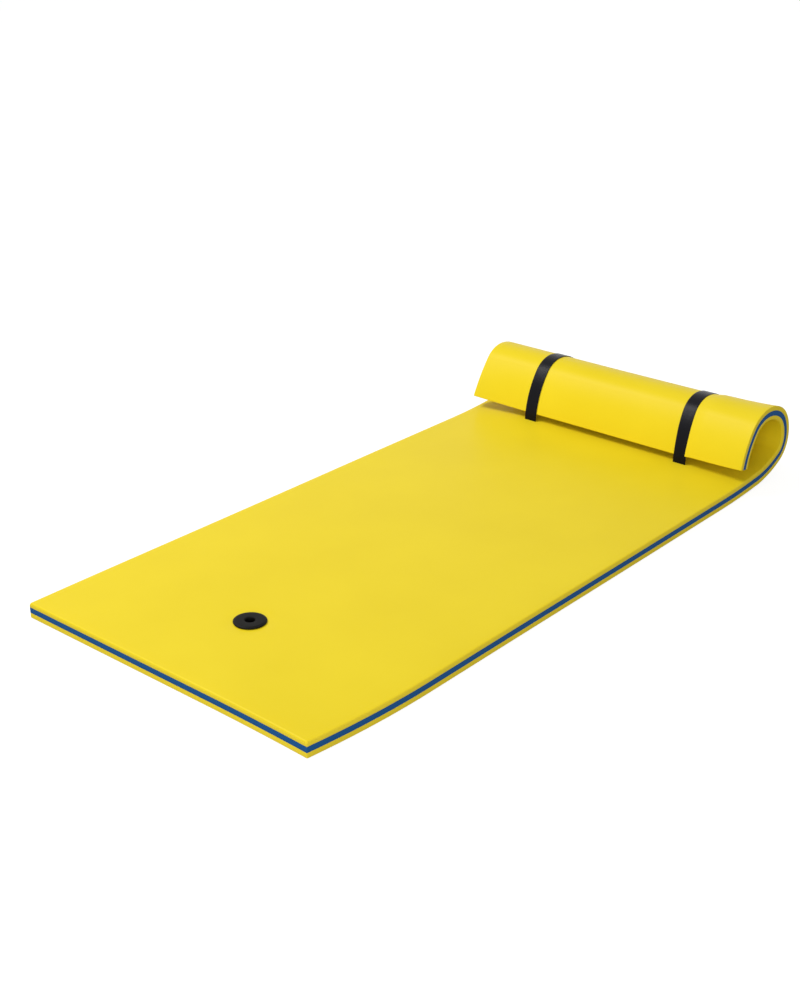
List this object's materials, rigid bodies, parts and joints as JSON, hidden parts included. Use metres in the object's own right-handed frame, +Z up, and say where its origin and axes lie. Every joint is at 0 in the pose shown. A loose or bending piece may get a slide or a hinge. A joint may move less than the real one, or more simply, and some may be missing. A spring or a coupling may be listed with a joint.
{
  "type": "swim float mat",
  "caption": "Layered closed-cell foam float mat whose head end curls over into a pillow held by webbing straps, with a mooring grommet near the foot.",
  "frame": {"origin": "middle of the mat's box, on the surface that its underside lies on", "axes": "+Y from the foot towards the rolled pillow, along the mat; +Z up through its thickness; +X to the right when looking from the foot to the pillow"},
  "size_m": [0.7, 1.4846, 0.1631],
  "materials": {
    "yellow_foam": "satin",
    "blue_foam": "satin",
    "grommet_plastic": "satin",
    "strap_webbing": "matte",
    "loop_tape": "matte",
    "hook_tape": "matte"
  },
  "bodies": {
    "mat": {"bottom_sheet_mat": "yellow_foam", "core_sheet_mat": "blue_foam", "top_sheet_mat": "yellow_foam", "grommet_cap": "grommet_plastic", "grommet_base": "grommet_plastic", "left_strap_band": "strap_webbing", "left_loop_patch": "loop_tape", "right_strap_band": "strap_webbing", "right_loop_patch": "loop_tape"},
    "roll_1": {"bottom_sheet_roll_1": "yellow_foam", "core_sheet_roll_1": "blue_foam", "top_sheet_roll_1": "yellow_foam"},
    "roll_2": {"bottom_sheet_roll_2": "yellow_foam", "core_sheet_roll_2": "blue_foam", "top_sheet_roll_2": "yellow_foam"},
    "roll_3": {"bottom_sheet_roll_3": "yellow_foam", "core_sheet_roll_3": "blue_foam", "top_sheet_roll_3": "yellow_foam"},
    "roll_4": {"bottom_sheet_roll_4": "yellow_foam", "core_sheet_roll_4": "blue_foam", "top_sheet_roll_4": "yellow_foam"},
    "roll_5": {"bottom_sheet_roll_5": "yellow_foam", "core_sheet_roll_5": "blue_foam", "top_sheet_roll_5": "yellow_foam"},
    "roll_6": {"bottom_sheet_roll_6": "yellow_foam", "core_sheet_roll_6": "blue_foam", "top_sheet_roll_6": "yellow_foam"},
    "roll_7": {"bottom_sheet_roll_7": "yellow_foam", "core_sheet_roll_7": "blue_foam", "top_sheet_roll_7": "yellow_foam"},
    "roll_8": {"bottom_sheet_roll_8": "yellow_foam", "core_sheet_roll_8": "blue_foam", "top_sheet_roll_8": "yellow_foam"},
    "left_tab": {"left_strap_tab": "strap_webbing", "left_hook_patch": "hook_tape"},
    "right_tab": {"right_strap_tab": "strap_webbing", "right_hook_patch": "hook_tape"}
  },
  "joints": [
    {"name": "pillow_unroll", "type": "hinge", "parent": "mat", "child": "roll_1", "pos_m": [0, 0.61386, 0.00651], "axis": [-1, 0, 0], "range_deg": [0, 15], "deforming": ["left_strap_band", "left_strap_tab", "left_loop_patch", "left_hook_patch", "right_strap_band", "right_strap_tab", "right_loop_patch", "right_hook_patch"]},
    {"name": "bend_2", "type": "hinge", "parent": "roll_1", "child": "roll_2", "pos_m": [0, 0.70618, 0.03014], "axis": [-1, 0, 0], "range_deg": [0, 30]},
    {"name": "bend_3", "type": "hinge", "parent": "roll_2", "child": "roll_3", "pos_m": [0, 0.72791, 0.05187], "axis": [-1, 0, 0], "range_deg": [0, 30]},
    {"name": "bend_4", "type": "hinge", "parent": "roll_3", "child": "roll_4", "pos_m": [0, 0.73606, 0.08229], "axis": [-1, 0, 0], "range_deg": [0, 30]},
    {"name": "bend_5", "type": "hinge", "parent": "roll_4", "child": "roll_5", "pos_m": [0, 0.72723, 0.11526], "axis": [-1, 0, 0], "range_deg": [0, 30]},
    {"name": "bend_6", "type": "hinge", "parent": "roll_5", "child": "roll_6", "pos_m": [0, 0.69457, 0.14792], "axis": [-1, 0, 0], "range_deg": [0, 30]},
    {"name": "bend_7", "type": "hinge", "parent": "roll_6", "child": "roll_7", "pos_m": [0, 0.6445, 0.16134], "axis": [-1, 0, 0], "range_deg": [0, 30]},
    {"name": "bend_8", "type": "hinge", "parent": "roll_7", "child": "roll_8", "pos_m": [0, 0.61045, 0.15221], "axis": [-1, 0, 0], "range_deg": [0, 44]},
    {"name": "left_tab_peel", "type": "hinge", "parent": "mat", "child": "left_tab", "pos_m": [-0.198, 0.73638, 0.05483], "axis": [-1, 0, 0], "range_deg": [0, 100]},
    {"name": "right_tab_peel", "type": "hinge", "parent": "mat", "child": "right_tab", "pos_m": [0.187, 0.73638, 0.05483], "axis": [-1, 0, 0], "range_deg": [0, 100]}
  ],
  "couplings": [
    {"joint": "bend_2", "follows": "pillow_unroll", "ratio": 2},
    {"joint": "bend_3", "follows": "pillow_unroll", "ratio": 2},
    {"joint": "bend_4", "follows": "pillow_unroll", "ratio": 2},
    {"joint": "bend_5", "follows": "pillow_unroll", "ratio": 2},
    {"joint": "bend_6", "follows": "pillow_unroll", "ratio": 2},
    {"joint": "bend_7", "follows": "pillow_unroll", "ratio": 2},
    {"joint": "bend_8", "follows": "pillow_unroll", "ratio": 2.9333}
  ]
}
